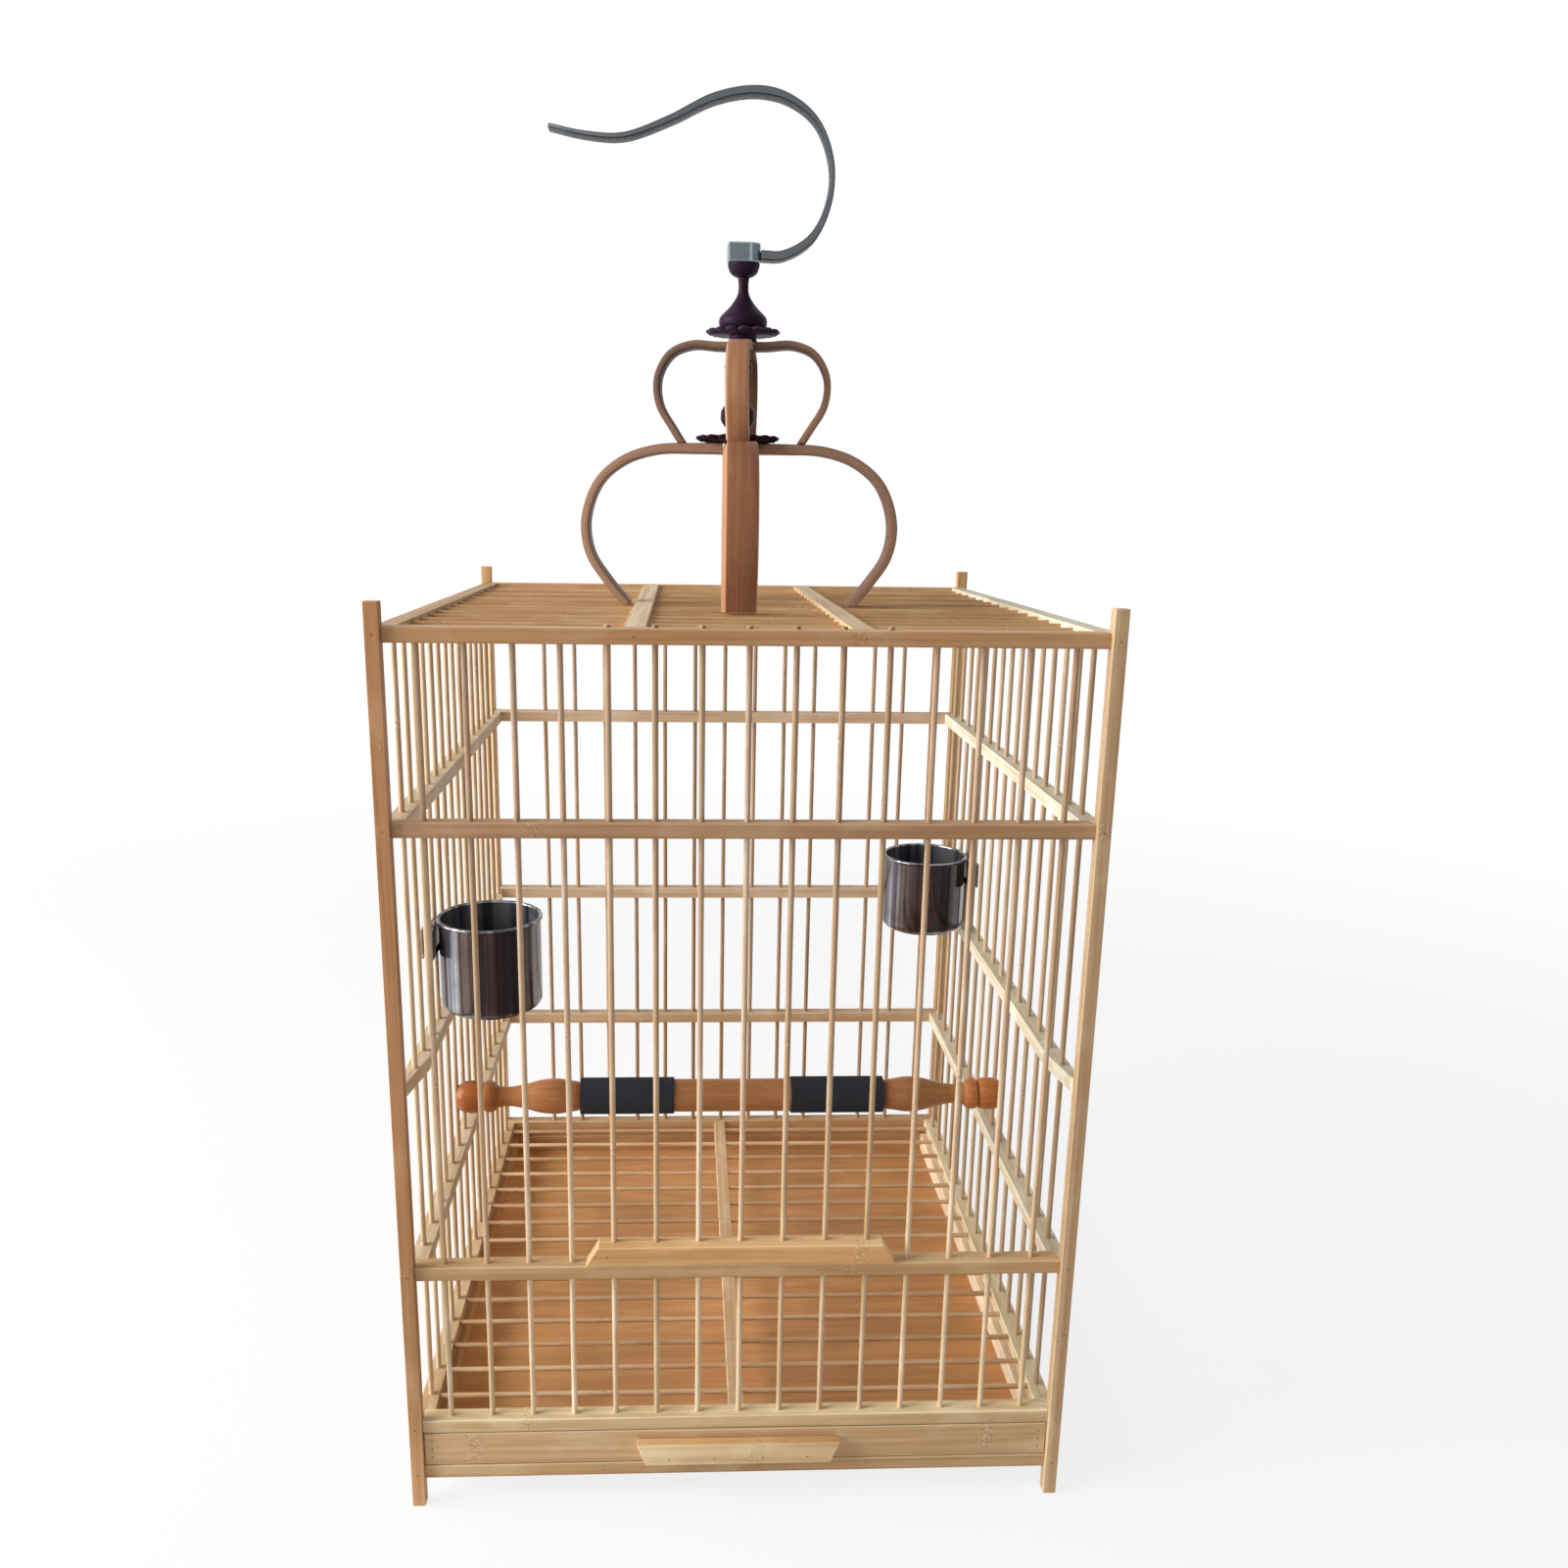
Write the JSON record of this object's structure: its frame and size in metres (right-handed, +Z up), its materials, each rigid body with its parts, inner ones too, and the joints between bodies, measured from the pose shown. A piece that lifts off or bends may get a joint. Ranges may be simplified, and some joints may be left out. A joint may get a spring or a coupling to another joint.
{
  "type": "bird cage",
  "caption": "Square bamboo bird cage with a lift-up door, pull-out tray, perch, clip-on steel cups, crossed bent carrying hoops and a swivelling hook.",
  "frame": {"origin": "on the surface the cage stands on, under the middle of the cage box", "axes": "+Z up, +X to the right seen from the front, -Y towards the front with the door and the drawer"},
  "size_m": [0.34, 0.3505, 0.7225],
  "materials": {
    "pale_bamboo": "clear-coated split bamboo",
    "brown_bamboo": "bent bamboo strip, light varnish",
    "roof_bamboo": "paler split bamboo",
    "tray_wood": "thin warm brown board",
    "turned_wood": "turned, varnished hardwood",
    "dark_wood": "turned and carved dark hardwood, waxed",
    "sandpaper": "abrasive cloth sleeve",
    "cup_steel": "polished stainless steel",
    "clip_steel": "pressed steel",
    "grey_metal": "grey satin metal"
  },
  "bodies": {
    "frame": {"post_front_left": "pale_bamboo", "post_front_right": "pale_bamboo", "post_back_left": "pale_bamboo", "post_back_right": "pale_bamboo", "top_rail_front": "pale_bamboo", "floor_rail_front": "pale_bamboo", "upper_rail_front": "pale_bamboo", "top_rail_back": "pale_bamboo", "floor_rail_back": "pale_bamboo", "upper_rail_back": "pale_bamboo", "top_rail_left": "pale_bamboo", "floor_rail_left": "pale_bamboo", "upper_rail_left": "pale_bamboo", "top_rail_right": "pale_bamboo", "floor_rail_right": "pale_bamboo", "upper_rail_right": "pale_bamboo", "back_bars_and_waist_rail": "pale_bamboo", "low_rail_back": "pale_bamboo", "base_board_back": "pale_bamboo", "left_bars_and_waist_rail": "pale_bamboo", "low_rail_left": "pale_bamboo", "base_board_left": "pale_bamboo", "right_bars_and_waist_rail": "pale_bamboo", "low_rail_right": "pale_bamboo", "base_board_right": "pale_bamboo", "low_rail_front_with_short_bars": "pale_bamboo", "base_rail_front": "pale_bamboo", "floor_grille": "pale_bamboo", "roof_grille": "roof_bamboo", "cup_clip_left": "clip_steel", "cup_clip_right": "clip_steel", "front_bar_1": "pale_bamboo", "front_bar_2": "pale_bamboo", "front_bar_3": "pale_bamboo", "front_bar_4": "pale_bamboo", "front_bar_5": "pale_bamboo", "front_bar_6": "pale_bamboo", "front_bar_7": "pale_bamboo", "front_bar_8": "pale_bamboo", "lower_hoop_across": "brown_bamboo", "lower_hoop_front_to_back": "brown_bamboo", "upper_hoop_across": "brown_bamboo", "upper_hoop_front_to_back": "brown_bamboo", "crown_disc": "dark_wood", "stem": "dark_wood", "petal_disc": "dark_wood", "bell": "dark_wood"},
    "door": {"sliding_door": "pale_bamboo"},
    "drawer": {"drawer_front": "pale_bamboo", "drawer_tray": "tray_wood", "drawer_handle": "pale_bamboo"},
    "hook": {"hook_head": "grey_metal", "hook_bar": "grey_metal"},
    "perch": {"perch": "turned_wood", "perch_sleeve_left": "sandpaper", "perch_sleeve_right": "sandpaper"},
    "cup_left": {"cup_left": "cup_steel"},
    "cup_right": {"cup_right": "cup_steel"}
  },
  "joints": [
    {"name": "door_slide", "type": "slide", "parent": "frame", "child": "door", "axis": [0, 0, 1], "range_m": [0, 0.21]},
    {"name": "drawer_slide", "type": "slide", "parent": "frame", "child": "drawer", "axis": [0, -1, 0], "range_m": [0, 0.3]},
    {"name": "hook_swivel", "type": "hinge", "parent": "frame", "child": "hook", "pos_m": [0.0022, 0, 0.6366], "axis": [0, 0, 1], "continuous": true},
    {"name": "perch_slide", "type": "slide", "parent": "frame", "child": "perch", "axis": [0, 0, 1], "range_m": [-0.021, 0.049]},
    {"name": "cup_left_lift", "type": "slide", "parent": "frame", "child": "cup_left", "axis": [0, 0, 1], "range_m": [0, 0.012]},
    {"name": "cup_right_lift", "type": "slide", "parent": "frame", "child": "cup_right", "axis": [0, 0, 1], "range_m": [0, 0.012]}
  ]
}
